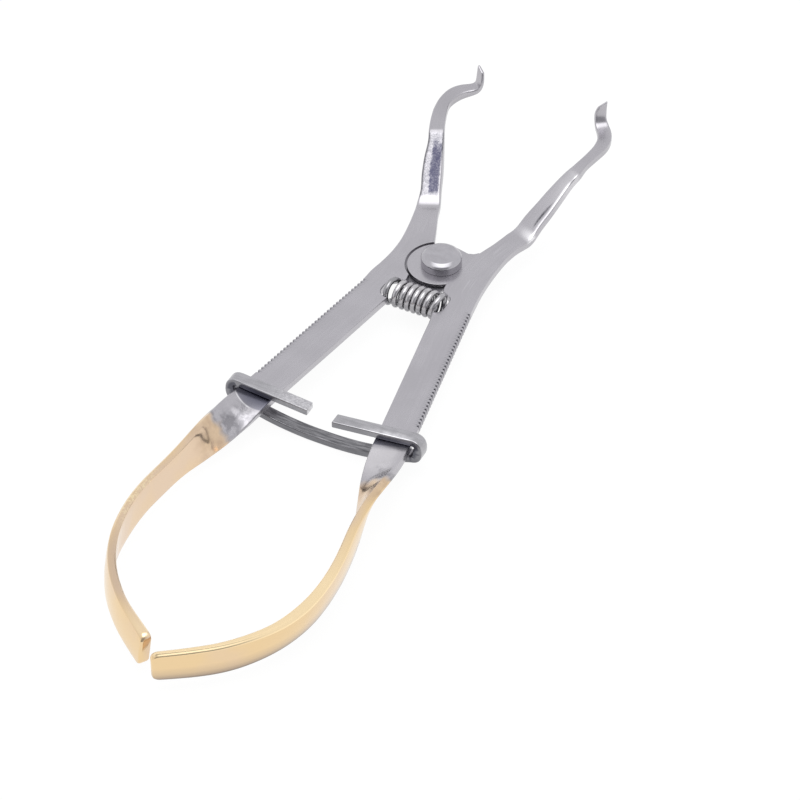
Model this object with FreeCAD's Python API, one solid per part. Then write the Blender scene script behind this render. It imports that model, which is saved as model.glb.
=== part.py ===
import FreeCAD, Part
import os, math

# Sectional matrix forceps, all sizes in millimetres.
# Working frame while building: pivot axis on X=0 Y=0, +Y towards the tips,
# +Z up, Z=0 in the mid-plane of the two flat arm plates.  At the end every
# piece is moved by one common shift, so that the assembly's bounding box is
# centred on X=0 Y=0 and stands on Z=0.

V = FreeCAD.Vector
os.makedirs("parts", exist_ok=True)

# ------------------------------------------------------------------ sizes
STOCK = 1.75            # thickness of the stamped arms
HALF = STOCK / 2.0
LAP_GAP = 0.02          # play between the two half-thickness lobes
LOBE_R = 6.40           # half-lap disc of each arm
LOBE_C = (-0.40, -0.45)  # its centre for the right arm (mirrored on the left)
RECESS_R = 6.95         # circular recess that takes the other arm's disc
RECESS_C = (-0.35, -0.25)  # its centre for the recess in the left arm
BORE_R = 2.55           # rivet bore
RIVET_R = 2.50          # rivet shaft
HEAD_R = 4.17           # rivet head
HEAD_FLAT_R = 3.35
HEAD_SIDE_H = 1.70      # cylindrical side of the head above the plate
HEAD_H = 2.55           # head height above the plate
TAIL_R = 3.60
TAIL_H = 1.45
AXIAL_PLAY = 0.02
TEETH = 34              # pitches of the serration on each outer edge
TOOTH_DEPTH = 0.55
TOOTH_FROM = -11.7      # y of the first notch
TOOTH_TO = -45.6        # y of the last notch
SPRING_Y = -11.3        # spring axis, parallel to X
SPRING_R = 3.00         # outside radius
WIRE_D = 1.15
SPRING_X0 = -5.75       # left end of the coil
SPRING_X1 = 5.80
COILS = 8.0
NOTCH_X = {"right": 6.60, "left": 7.20}  # depth of the spring seat from the middle plane
NOTCH_Y = -11.15        # middle of the spring seat
NOTCH_HW = 3.20         # half width of the spring seat
NOTCH_CR = 2.00         # its corner radius
RING_W = 2.70           # ring bar, along Y
RING_T = 1.50           # ring bar thickness
RING_TOP = 2.45         # top of the bars over the plates
RING_OUT = 21.40        # outermost X of the loops
RING_LOOP_A = 1.30      # half width of the loop's middle line, along X
RING_LOOP_B = 1.80      # half height of the loop's middle line
RING_LOOP_N = 2.50      # squareness of the loops
RING_LOOP_T = 0.42      # how much thicker the bar is on the inside of the loops
RING_LOW = -5.30        # middle of the under-bar at X=0
RING_BOW = 2.2          # exponent of its bow
RING_GAP_L = -2.80      # free ends of the two top bars
RING_GAP_R = 3.00

# Outline of the flat plate of the right arm, seen from above, counted from
# the fold inwards (crotch side), down the inner edge, across, and back up the
# outer edge.  X is positive for both arms; the left one is mirrored.
OUTER_EDGE = {          # straight serrated edge: (x at y=-10, x at y=-50)
    "right": (11.90, 18.60), "left": (11.75, 18.45)}
INNER_50 = {"right": 11.40, "left": 10.90}
CROTCH = {
    "right": [(7.95, 15.00), (7.79, 14.35), (6.74, 10.24), (5.87, 7.66),
              (5.45, 6.35), (4.65, 5.56), (3.50, 5.15), (1.50, 5.60), (0.50, 5.75)],
    "left": [(7.95, 15.00), (7.78, 14.41), (6.33, 10.79), (5.05, 7.60),
             (4.55, 6.20), (4.08, 5.11), (3.00, 5.00), (1.50, 5.50), (0.50, 5.75)]}
INNER = {
    "right": [(0.50, 3.5), (3.60, -3.0), (3.76, -6.70), (4.30, -7.60)],
    "left": [(0.50, 3.5), (3.60, -3.0), (4.40, -5.70), (4.10, -7.60)]}
INNER_LOW = {
    "right": [(5.10, -14.60), (5.63, -16.45), (8.42, -32.67)],
    "left": [(5.05, -14.60), (5.22, -15.50), (7.65, -30.46)]}
SHOULDER = {            # outer edge from the first tooth up to the fold
    "right": [(11.62, -8.07), (11.05, -3.60), (10.81, 1.85), (10.93, 6.62),
              (11.55, 10.60), (12.50, 13.20)],
    "left": [(11.75, -8.20), (11.18, -5.00), (10.75, -1.04), (10.77, 2.79),
             (11.40, 7.50), (12.55, 13.10)]}

# Bent front half: rows of (top-inner point, top-outer point, thickness
# direction) from the plate over the first fold, the sloping shank, the second
# fold, the level jaw and the blade that is bent up at the tip.
SLOPE_N = {"right": (-0.221, -0.459, 0.861), "left": (-0.215, -0.462, 0.861)}
SHANK = {
    "right": [((8.45, 17.10, 0.875), (12.95, 15.00, 0.875)),
              ((9.21, 19.56, 2.30), (13.50, 17.75, 2.45)),
              ((10.50, 22.48, 4.20), (14.40, 20.53, 4.20)),
              ((11.65, 25.11, 5.95), (15.20, 23.62, 6.05)),
              ((13.16, 28.18, 7.97), (16.02, 26.72, 7.93)),
              ((14.26, 30.00, 9.20), (16.90, 28.60, 9.20))],
    "left": [((8.60, 16.90, 0.875), (13.05, 14.90, 0.875)),
             ((9.83, 19.45, 2.55), (13.51, 17.64, 2.50)),
             ((10.87, 22.08, 4.22), (14.60, 20.25, 4.17)),
             ((12.13, 25.10, 6.16), (15.60, 23.41, 6.11)),
             ((13.45, 28.15, 8.13), (16.38, 26.85, 8.10)),
             ((14.20, 29.94, 9.30), (17.10, 28.50, 9.27))]}
FLARE = {               # how far the lower inner edge stands in from the upper one
    "right": [0.0, 0.0, 0.0, 0.0, 0.0, 0.0],
    "left": [0.10, 0.35, 0.45, 0.40, 0.28, 0.15]}
JAW_Z = {"right": 9.30, "left": 9.40}
JAW = {                 # inner x,y then outer x,y of the level jaw
    "right": [((14.95, 33.30), (17.15, 32.90)),
              ((15.45, 36.60), (17.80, 36.70)),
              ((15.63, 38.80), (18.25, 39.30)),
              ((15.50, 40.79), (18.20, 41.80)),
              ((14.96, 42.50), (17.45, 44.20))],
    "left": [((15.45, 33.05), (18.55, 32.40)),
             ((16.62, 36.35), (19.50, 35.90)),
             ((17.15, 38.65), (19.90, 38.90)),
             ((16.79, 41.00), (19.75, 41.70)),
             ((16.00, 42.90), (18.85, 44.20))]}
BLADE = {               # top-inner, top-outer, thickness direction, thickness
    "right": [((14.15, 43.90, 9.35), (16.45, 45.75, 9.35), (-0.22, 0.28, 0.93), 1.65),
              ((13.40, 44.80, 9.75), (15.45, 46.70, 9.80), (0.10, -0.15, 0.98), 1.45),
              ((12.90, 45.60, 10.90), (14.85, 47.15, 11.00), (0.60, -0.72, 0.34), 1.10),
              ((12.85, 46.05, 12.20), (14.72, 47.50, 12.60), (0.60, -0.78, 0.18), 0.80),
              ((13.31, 46.40, 13.30), (14.67, 47.80, 14.35), (0.60, -0.78, 0.18), 0.50)],
    "left": [((14.80, 44.10, 9.45), (17.10, 45.85, 9.45), (-0.22, 0.28, 0.93), 1.65),
             ((13.60, 44.70, 9.85), (15.60, 46.30, 9.90), (0.10, -0.15, 0.98), 1.30),
             ((13.10, 44.75, 10.90), (15.00, 46.35, 11.00), (0.60, -0.72, 0.34), 0.90),
             ((13.10, 45.30, 12.20), (15.02, 46.72, 12.55), (0.60, -0.78, 0.18), 0.78),
             ((13.35, 45.95, 13.35), (14.92, 47.00, 14.30), (0.60, -0.78, 0.18), 0.62)]}

# Handle: x, y of the middle line, strap thickness, strap width, lean of the
# top edge outwards over the strap's width, and twist in degrees.
HANDLE = {
    "right": [(15.00, -50.0, 1.75, 7.10, 0.0, 0), (15.60, -54.0, 1.75, 7.05, 0.0, 3),
              (16.25, -58.0, 1.75, 7.00, 0.0, 16), (17.00, -62.0, 1.75, 7.00, 0.0, 34),
              (17.85, -66.0, 1.75, 7.00, 0.0, 53), (18.65, -70.0, 1.75, 7.00, 0.1, 70),
              (19.50, -74.0, 1.75, 7.00, 0.3, 83), (20.30, -78.5, 1.75, 7.00, 0.5, 90),
              (21.05, -82.5, 1.80, 7.00, 0.5, 90), (21.75, -87.0, 1.90, 7.00, 0.7, 90),
              (22.13, -91.9, 2.00, 7.00, 0.9, 90), (22.10, -95.9, 2.10, 7.00, 1.0, 90),
              (21.75, -99.2, 2.20, 7.00, 1.1, 90), (20.90, -103.0, 2.20, 7.00, 1.15, 90),
              (19.50, -106.9, 2.00, 7.00, 1.0, 90), (17.60, -110.3, 1.85, 7.00, 0.7, 90),
              (15.35, -113.4, 1.75, 7.00, 0.4, 90), (12.85, -116.1, 1.65, 7.00, 0.3, 90),
              (10.15, -118.35, 1.60, 7.00, 0.3, 90), (7.20, -120.5, 1.55, 6.90, 0.35, 90),
              (2.90, -123.35, 1.50, 6.70, 0.4, 90)],
    "left": [(14.70, -50.0, 1.75, 7.45, 0.0, 0), (15.30, -53.5, 1.75, 7.35, 0.0, 5),
             (15.95, -57.5, 1.75, 7.20, 0.0, 22), (16.65, -61.5, 1.75, 7.10, 0.0, 42),
             (17.35, -65.5, 1.75, 7.00, 0.0, 60), (18.05, -69.5, 1.70, 7.00, 0.0, 76),
             (18.75, -73.5, 1.60, 7.00, 0.0, 87), (19.25, -77.5, 1.50, 7.00, 0.0, 90),
             (19.70, -81.5, 1.50, 7.00, 0.0, 90), (20.10, -85.5, 1.50, 7.00, 0.0, 90),
             (20.10, -89.7, 1.50, 7.00, 0.0, 90), (19.65, -94.2, 1.55, 7.00, -0.2, 90),
             (18.80, -98.6, 1.60, 7.00, -0.6, 90), (17.05, -103.3, 1.60, 7.00, -0.9, 90),
             (15.00, -106.9, 1.60, 7.00, -1.0, 90), (12.95, -109.65, 1.60, 7.00, -1.0, 90),
             (10.80, -112.0, 1.60, 7.00, -1.0, 90), (8.50, -114.2, 1.60, 7.00, -1.0, 90),
             (5.90, -116.24, 1.75, 7.00, -1.0, 90), (3.10, -118.22, 1.92, 6.90, -1.0, 90),
             (-0.24, -120.52, 2.05, 6.70, -1.0, 90)]}


# ---------------------------------------------------------------- helpers
def wire(points):
    pts = [V(*p) for p in points]
    return Part.makePolygon(pts + [pts[0]])


def unit(a):
    n = math.sqrt(sum(c * c for c in a))
    return tuple(c / n for c in a)


def disc(cx, cy, r, z0, z1):
    return Part.makeCylinder(r, z1 - z0, V(cx, cy, z0), V(0, 0, 1))


def outer_x(side, y):
    a, b = OUTER_EDGE[side]
    return a + (b - a) * (-10.0 - y) / 40.0


def serrated_edge(side):
    """Outer edge from y=-50 up to the first notch: sharp-edged notches, broad teeth."""
    pitch = (TOOTH_FROM - TOOTH_TO) / TEETH
    a, b = OUTER_EDGE[side]
    slope = math.atan2(b - a, 40.0)
    dx, dy = math.cos(slope) * TOOTH_DEPTH, math.sin(slope) * TOOTH_DEPTH
    pts = [(outer_x(side, -50.0), -50.0)]
    for k in range(TEETH + 1):
        y = TOOTH_TO + k * pitch
        pts.append((outer_x(side, y - 0.30 * pitch), y - 0.30 * pitch))
        pts.append((outer_x(side, y) - dx, y - dy))
        pts.append((outer_x(side, y + 0.30 * pitch), y + 0.30 * pitch))
    return pts


def spring_seat(side, z0, z1):
    """Tool body of the rounded pocket in the inner edge that seats the spring."""
    x, h, r = NOTCH_X[side], NOTCH_HW, NOTCH_CR
    pts = [(0.0, -h), (x - r, -h)]
    for i in range(1, 6):
        a = math.radians(-90 + i * 15)
        pts.append((x - r + r * math.cos(a), -h + r + r * math.sin(a)))
    pts.append((x, -h + r))
    pts.append((x, h - r))
    for i in range(1, 6):
        a = math.radians(i * 15)
        pts.append((x - r + r * math.cos(a), h - r + r * math.sin(a)))
    pts += [(x - r, h), (0.0, h)]
    face = Part.Face(wire([(px, py + NOTCH_Y, z0) for px, py in pts]))
    return face.extrude(V(0, 0, z1 - z0))


def plate(side):
    pts = list(CROTCH[side]) + list(INNER[side]) + list(INNER_LOW[side])
    pts.append((INNER_50[side], -50.0))
    pts += serrated_edge(side)
    pts += SHOULDER[side]
    face = Part.Face(wire([(x, y, -HALF) for x, y in pts]))
    return face.extrude(V(0, 0, STOCK))


def front(side):
    """Fold, shank, jaw and bent-up blade as one skin through four-cornered sections."""
    n = unit(SLOPE_N[side])
    m1 = unit((n[0], n[1], n[2] + 1.0))
    c = STOCK / (m1[2] * 1.0)
    rows = []
    first_in, first_out = CROTCH[side][0], SHOULDER[side][-1]
    rows.append(((first_in[0], first_in[1], HALF), (first_out[0], first_out[1], HALF),
                 (0, 0, 1), STOCK, 0.0))
    shank = SHANK[side]
    for i, (a, b) in enumerate(shank):
        fold = i in (0, len(shank) - 1)
        rows.append((a, b, m1 if fold else n, c if fold else STOCK, FLARE[side][i]))
    z = JAW_Z[side]
    for (ax, ay), (bx, by) in JAW[side]:
        rows.append(((ax, ay, z), (bx, by, z), (0, 0, 1), STOCK, 0.0))
    for a, b, d, t in BLADE[side]:
        rows.append((a, b, unit(d), t, 0.0))
    wires = []
    for a, b, d, t, fl in rows:
        la = tuple(a[i] - d[i] * t for i in range(3))
        la = (la[0] - fl, la[1], la[2])
        lb = tuple(b[i] - d[i] * t for i in range(3))
        wires.append(wire([a, b, lb, la]))
    return Part.makeLoft(wires, True, True)


def handle(side):
    rows = HANDLE[side]
    wires = []
    for i, (x, y, t, w, lean, tw) in enumerate(rows):
        p = rows[max(i - 1, 0)]
        q = rows[min(i + 1, len(rows) - 1)]
        tx, ty = q[0] - p[0], q[1] - p[1]
        if i == 0:
            tx, ty = 0.0, -1.0
        k = math.hypot(tx, ty)
        nx, ny = -ty / k, tx / k        # outwards, level
        a = math.radians(tw)
        # width direction turns from outwards to up, thickness from up to inwards
        wd = (nx * math.cos(a), ny * math.cos(a), math.sin(a))
        td = (-nx * math.sin(a), -ny * math.sin(a), math.cos(a))
        s = lean / 2.0
        cs = []
        for sw, st in ((1, 1), (-1, 1), (-1, -1), (1, -1)):
            px = x + wd[0] * sw * w / 2 + td[0] * st * t / 2 + nx * s * sw * math.sin(a)
            py = y + wd[1] * sw * w / 2 + td[1] * st * t / 2 + ny * s * sw * math.sin(a)
            pz = wd[2] * sw * w / 2 + td[2] * st * t / 2
            cs.append((px, py, pz))
        if i == 0:
            w0, t0 = w / 2, t / 2
            cs = [(outer_x(side, -50.0), y, t0), (INNER_50[side], y, t0),
                  (INNER_50[side], y, -t0), (outer_x(side, -50.0), y, -t0)]
        wires.append(wire(cs))
    return Part.makeLoft(wires, True, False)


def arm(side):
    """One arm, built with positive X.  The right arm's disc is the upper half."""
    body = plate(side)
    body = body.cut(spring_seat(side, -2.0, 2.0))
    upper = side == "right"
    z0, z1 = (LAP_GAP / 2, HALF) if upper else (-HALF, -LAP_GAP / 2)
    lobe = disc(LOBE_C[0], LOBE_C[1], LOBE_R, z0, z1)
    r0, r1 = (-HALF - 0.5, LAP_GAP / 2) if upper else (-LAP_GAP / 2, HALF + 0.5)
    body = body.cut(disc(-RECESS_C[0], RECESS_C[1], RECESS_R, r0, r1))
    body = body.fuse(lobe)
    if not upper:                       # web of the lower half behind the spring
        web = [(4.60, -5.00), (4.12, -7.75), (3.20, -8.10), (0.00, -8.10),
               (-2.20, -7.75), (-3.30, -7.20), (-3.30, -5.50), (0.00, -3.50)]
        body = body.fuse(Part.Face(wire([(x, y, z0) for x, y in web])).extrude(V(0, 0, z1 - z0)))
    body = body.fuse(front(side))
    body = body.fuse(handle(side))
    body = body.cut(disc(0, 0, BORE_R, -2.0, 2.0))
    body = body.removeSplitter()
    if side == "left":
        body = body.mirror(V(0, 0, 0), V(1, 0, 0))
    return body


def rivet():
    zt = HALF + AXIAL_PLAY
    zb = -HALF - AXIAL_PLAY
    pts = [(0, zb - TAIL_H), (TAIL_R - 0.7, zb - TAIL_H), (TAIL_R, zb - TAIL_H + 0.7),
           (TAIL_R, zb), (RIVET_R, zb), (RIVET_R, zt), (HEAD_R, zt),
           (HEAD_R, HALF + HEAD_SIDE_H),
           (HEAD_R - 0.22, HALF + HEAD_SIDE_H + 0.42),
           (HEAD_FLAT_R, HALF + HEAD_H), (0, HALF + HEAD_H)]
    face = Part.Face(wire([(r, 0.0, z) for r, z in pts]))
    return face.revolve(V(0, 0, 0), V(0, 0, 1), 360)


def spring():
    r = SPRING_R - WIRE_D / 2
    length = SPRING_X1 - SPRING_X0 - WIRE_D
    pitch = length / COILS
    path = Part.makeHelix(pitch, length, r, 0, True)      # left-hand coil
    prof = Part.Wire([Part.makeCircle(WIRE_D / 2, V(r, 0, 0), V(0, -1, pitch / (2 * math.pi * r)))])
    coil = Part.Wire(path.Edges).makePipeShell([prof], True, True)
    coil.rotate(V(0, 0, 0), V(0, 1, 0), 90)
    coil.translate(V(SPRING_X0 + WIRE_D / 2, SPRING_Y, 0))
    return coil


def ring_rows():
    """Middle line of the ring bar: x, y, z from the left free end to the right one."""
    ra, rb, e = RING_LOOP_A, RING_LOOP_B, 2.0 / RING_LOOP_N
    xc = RING_OUT - RING_T / 2 - ra
    zt = RING_TOP - RING_T / 2
    zc = zt - rb

    def loop(deg):
        c, s = math.cos(math.radians(deg)), math.sin(math.radians(deg))
        return (ra * math.copysign(abs(c) ** e, c), zc + rb * math.copysign(abs(s) ** e, s))

    pts = []
    for i in range(8):                      # left top bar, free end outwards
        x = RING_GAP_L + (-xc - RING_GAP_L) * i / 7.0
        pts.append((x, -51.50 + 1.40 * i / 7.0, zt))
    for i in range(1, 11):                  # left loop
        u, z = loop(90 - i * 18)
        pts.append((-xc - u, -50.10 - 0.7 * i / 10.0, z))
    lo = pts[-1]
    for i in range(1, 14):                  # under-bar, left to right
        x = lo[0] + (-2 * lo[0]) * i / 14.0
        k = (abs(x) / abs(lo[0])) ** RING_BOW
        pts.append((x, -50.80, RING_LOW + (lo[2] - RING_LOW) * k))
    for i in range(0, 11):                  # right loop
        u, z = loop(-90 + i * 18)
        pts.append((xc + u, -50.80 + 0.6 * i / 10.0, z))
    for i in range(1, 8):                   # right top bar, inwards
        x = xc + (RING_GAP_R - xc) * i / 7.0
        pts.append((x, -50.20 - 2.10 * i / 7.0, zt))
    return pts


def loop_swell(p):
    """Extra thickness on the inside of a loop at this point of the middle line."""
    xc = RING_OUT - RING_T / 2 - RING_LOOP_A
    u = (abs(p[0]) - xc) / RING_LOOP_A
    return RING_LOOP_T * max(0.0, u) ** 3


def ring():
    pts = ring_rows()
    wires = []
    for i, p in enumerate(pts):
        a = pts[max(i - 1, 0)]
        b = pts[min(i + 1, len(pts) - 1)]
        tx, tz = b[0] - a[0], b[2] - a[2]
        k = math.hypot(tx, tz)
        nx, nz = -tz / k, tx / k
        h, w, c = RING_T / 2, RING_W / 2, 0.28
        sec = [(-h, -w + c), (-h, w - c), (-h + c, w), (h - c, w),
               (h, w - c), (h, -w + c), (h - c, -w), (-h + c, -w)]
        e = loop_swell(p)
        sec = [(s + e if s > 0 else s, q) for s, q in sec]
        wires.append(wire([(p[0] + nx * s, p[1] + q, p[2] + nz * s) for s, q in sec]))
    return Part.makeLoft(wires, True, False)


# ------------------------------------------------------------------ build
pieces = {
    "left_arm": arm("left"),
    "right_arm": arm("right"),
    "pivot_rivet": rivet(),
    "coil_spring": spring(),
    "sliding_ring": ring(),
}

lo = [1e9, 1e9, 1e9]
hi = [-1e9, -1e9, -1e9]
for s in pieces.values():
    b = s.optimalBoundingBox(False, False)
    lo = [min(lo[0], b.XMin), min(lo[1], b.YMin), min(lo[2], b.ZMin)]
    hi = [max(hi[0], b.XMax), max(hi[1], b.YMax), max(hi[2], b.ZMax)]
shift = V(-(lo[0] + hi[0]) / 2, -(lo[1] + hi[1]) / 2, -lo[2])
print("shift", shift, "size", [hi[i] - lo[i] for i in range(3)])

for name, s in pieces.items():
    s = s.copy()
    s.translate(shift)
    if s.ShapeType == "Compound" and len(s.Solids) == 1:
        s = s.Solids[0]
    print(name, s.ShapeType, len(s.Solids), s.isValid(), round(s.Volume, 1))
    s.exportStep("parts/" + name + ".step")
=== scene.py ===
import bpy, bmesh, math
import numpy as np
from mathutils import Vector, Matrix


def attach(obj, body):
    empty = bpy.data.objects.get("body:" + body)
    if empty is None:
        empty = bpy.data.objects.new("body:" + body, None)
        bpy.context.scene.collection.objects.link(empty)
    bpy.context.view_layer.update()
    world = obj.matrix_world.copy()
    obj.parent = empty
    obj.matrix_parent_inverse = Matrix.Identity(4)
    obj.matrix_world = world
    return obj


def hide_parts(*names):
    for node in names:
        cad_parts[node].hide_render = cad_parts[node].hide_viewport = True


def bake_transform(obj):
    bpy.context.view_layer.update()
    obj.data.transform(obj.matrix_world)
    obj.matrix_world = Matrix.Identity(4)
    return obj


# Sectional matrix forceps: the detailed surfaces round the CAD frame.
# Shapes are computed in millimetres with the pivot axis at X=0 Y=0 and the
# plates' mid-plane at Z=0, and are moved to the row frame, in metres, at the end.

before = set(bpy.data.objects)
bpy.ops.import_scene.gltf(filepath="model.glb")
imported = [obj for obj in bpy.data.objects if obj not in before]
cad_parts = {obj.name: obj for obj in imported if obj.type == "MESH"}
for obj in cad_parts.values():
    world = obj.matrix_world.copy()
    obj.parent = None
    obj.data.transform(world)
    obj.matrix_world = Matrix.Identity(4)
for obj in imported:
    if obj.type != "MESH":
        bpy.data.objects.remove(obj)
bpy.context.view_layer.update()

SHIFT = np.array([-1.132303, 37.976009, 6.050000])
HALF = 0.875
STOCK = 1.75
LAP = 0.01


def to_m(p):
    return (np.asarray(p, float) + SHIFT) / 1000.0


# ------------------------------------------------------------------ tables
OUTER_EDGE = {"right": (11.90, 18.60), "left": (11.75, 18.45)}
INNER_50 = {"right": 11.40, "left": 10.90}
CROTCH = {
    "right": [(7.95, 15.00), (7.79, 14.35), (6.74, 10.24), (5.87, 7.66), (5.45, 6.35)],
    "left": [(7.95, 15.00), (7.78, 14.41), (6.33, 10.79), (5.05, 7.60), (4.55, 6.20)]}
INNER = {
    "right": [(4.95, 5.20), (4.45, 3.20), (3.85, 0.0), (3.60, -3.0), (3.76, -6.70), (4.30, -7.60)],
    "left": [(4.08, 5.11), (3.90, 3.20), (3.75, 0.0), (3.60, -3.0), (4.40, -5.70), (4.10, -7.60)]}
INNER_LOW = {
    "right": [(5.10, -14.60), (5.63, -16.45), (8.42, -32.67)],
    "left": [(5.05, -14.60), (5.22, -15.50), (7.65, -30.46)]}
SHOULDER = {
    "right": [(11.62, -8.07), (11.05, -3.60), (10.81, 1.85), (10.93, 6.62),
              (11.55, 10.60), (12.50, 13.20)],
    "left": [(11.75, -8.20), (11.18, -5.00), (10.75, -1.04), (10.77, 2.79),
             (11.40, 7.50), (12.55, 13.10)]}
WEDGE = {
    "right": [(5.45, 6.35), (4.65, 5.56), (3.50, 5.15), (1.50, 5.60), (0.50, 5.75),
              (0.50, 4.4), (4.9, 2.6), (5.9, 4.6)],
    "left": [(4.55, 6.20), (4.08, 5.11), (3.00, 5.00), (1.50, 5.50), (0.50, 5.75),
             (0.50, 4.4), (4.4, 2.6), (5.3, 4.4)]}
SLOPE_N = {"right": (-0.221, -0.459, 0.861), "left": (-0.215, -0.462, 0.861)}
SHANK = {
    "right": [((8.45, 17.10, 0.875), (12.95, 15.00, 0.875)),
              ((9.21, 19.56, 2.30), (13.50, 17.75, 2.45)),
              ((10.50, 22.48, 4.20), (14.40, 20.53, 4.20)),
              ((11.65, 25.11, 5.95), (15.20, 23.62, 6.05)),
              ((13.16, 28.18, 7.97), (16.02, 26.72, 7.93)),
              ((14.26, 30.00, 9.20), (16.90, 28.60, 9.20))],
    "left": [((8.60, 16.90, 0.875), (13.05, 14.90, 0.875)),
             ((9.83, 19.45, 2.55), (13.51, 17.64, 2.50)),
             ((10.87, 22.08, 4.22), (14.60, 20.25, 4.17)),
             ((12.13, 25.10, 6.16), (15.60, 23.41, 6.11)),
             ((13.45, 28.15, 8.13), (16.38, 26.85, 8.10)),
             ((14.20, 29.94, 9.30), (17.10, 28.50, 9.27))]}
FLARE = {"right": [0.0] * 6, "left": [0.10, 0.35, 0.45, 0.40, 0.28, 0.15]}
JAW_Z = {"right": 9.30, "left": 9.40}
JAW = {
    "right": [((14.95, 33.30), (17.15, 32.90)), ((15.45, 36.60), (17.80, 36.70)),
              ((15.63, 38.80), (18.25, 39.30)), ((15.50, 40.79), (18.20, 41.80)),
              ((14.96, 42.50), (17.45, 44.20))],
    "left": [((15.45, 33.05), (18.55, 32.40)), ((16.62, 36.35), (19.50, 35.90)),
             ((17.15, 38.65), (19.90, 38.90)), ((16.79, 41.00), (19.75, 41.70)),
             ((16.00, 42.90), (18.85, 44.20))]}
BLADE = {
    "right": [((14.15, 43.90, 9.35), (16.45, 45.75, 9.35), (-0.22, 0.28, 0.93), 1.65),
              ((13.40, 44.80, 9.75), (15.45, 46.70, 9.80), (0.10, -0.15, 0.98), 1.45),
              ((12.90, 45.60, 10.90), (14.85, 47.15, 11.00), (0.60, -0.72, 0.34), 1.10),
              ((12.85, 46.05, 12.20), (14.72, 47.50, 12.60), (0.60, -0.78, 0.18), 0.80),
              ((13.31, 46.40, 13.30), (14.67, 47.80, 14.35), (0.60, -0.78, 0.18), 0.50)],
    "left": [((14.80, 44.10, 9.45), (17.10, 45.85, 9.45), (-0.22, 0.28, 0.93), 1.65),
             ((13.60, 44.70, 9.85), (15.60, 46.30, 9.90), (0.10, -0.15, 0.98), 1.30),
             ((13.10, 44.75, 10.90), (15.00, 46.35, 11.00), (0.60, -0.72, 0.34), 0.90),
             ((13.10, 45.30, 12.20), (15.02, 46.72, 12.55), (0.60, -0.78, 0.18), 0.78),
             ((13.35, 45.95, 13.35), (14.92, 47.00, 14.30), (0.60, -0.78, 0.18), 0.62)]}
HANDLE = {
    "right": [(15.00, -50.0, 1.75, 7.10, 0.0, 0), (15.60, -54.0, 1.75, 7.05, 0.0, 3),
              (16.25, -58.0, 1.75, 7.00, 0.0, 16), (17.00, -62.0, 1.75, 7.00, 0.0, 34),
              (17.85, -66.0, 1.75, 7.00, 0.0, 53), (18.65, -70.0, 1.75, 7.00, 0.1, 70),
              (19.50, -74.0, 1.75, 7.00, 0.3, 83), (20.30, -78.5, 1.75, 7.00, 0.5, 90),
              (21.05, -82.5, 1.80, 7.00, 0.5, 90), (21.75, -87.0, 1.90, 7.00, 0.7, 90),
              (22.13, -91.9, 2.00, 7.00, 0.9, 90), (22.10, -95.9, 2.10, 7.00, 1.0, 90),
              (21.75, -99.2, 2.20, 7.00, 1.1, 90), (20.90, -103.0, 2.20, 7.00, 1.15, 90),
              (19.50, -106.9, 2.00, 7.00, 1.0, 90), (17.60, -110.3, 1.85, 7.00, 0.7, 90),
              (15.35, -113.4, 1.75, 7.00, 0.4, 90), (12.85, -116.1, 1.65, 7.00, 0.3, 90),
              (10.15, -118.35, 1.60, 7.00, 0.3, 90), (7.20, -120.5, 1.55, 6.90, 0.35, 90),
              (2.90, -123.35, 1.50, 6.70, 0.4, 90)],
    "left": [(14.70, -50.0, 1.75, 7.45, 0.0, 0), (15.30, -53.5, 1.75, 7.35, 0.0, 5),
             (15.95, -57.5, 1.75, 7.20, 0.0, 22), (16.65, -61.5, 1.75, 7.10, 0.0, 42),
             (17.35, -65.5, 1.75, 7.00, 0.0, 60), (18.05, -69.5, 1.70, 7.00, 0.0, 76),
             (18.75, -73.5, 1.60, 7.00, 0.0, 87), (19.25, -77.5, 1.50, 7.00, 0.0, 90),
             (19.70, -81.5, 1.50, 7.00, 0.0, 90), (20.10, -85.5, 1.50, 7.00, 0.0, 90),
             (20.10, -89.7, 1.50, 7.00, 0.0, 90), (19.65, -94.2, 1.55, 7.00, -0.2, 90),
             (18.80, -98.6, 1.60, 7.00, -0.6, 90), (17.05, -103.3, 1.60, 7.00, -0.9, 90),
             (15.00, -106.9, 1.60, 7.00, -1.0, 90), (12.95, -109.65, 1.60, 7.00, -1.0, 90),
             (10.80, -112.0, 1.60, 7.00, -1.0, 90), (8.50, -114.2, 1.60, 7.00, -1.0, 90),
             (5.90, -116.24, 1.75, 7.00, -1.0, 90), (3.10, -118.22, 1.92, 6.90, -1.0, 90),
             (-0.24, -120.52, 2.05, 6.70, -1.0, 90)]}
TOOTH_FROM, TOOTH_TO, TEETH = -11.7, -45.6, 34
PITCH = (TOOTH_FROM - TOOTH_TO) / TEETH
LOBE_R, LOBE_C = 6.40, (-0.40, -0.45)
RECESS_R, RECESS_C = 6.95, (0.35, -0.25)
BORE_R = 2.55
NOTCH_X = {"right": 6.60, "left": 7.20}
NOTCH_Y, NOTCH_HW, NOTCH_CR = -11.15, 3.20, 2.00


# ----------------------------------------------------------------- helpers
def unit(a):
    a = np.asarray(a, float)
    return a / np.linalg.norm(a)


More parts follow.
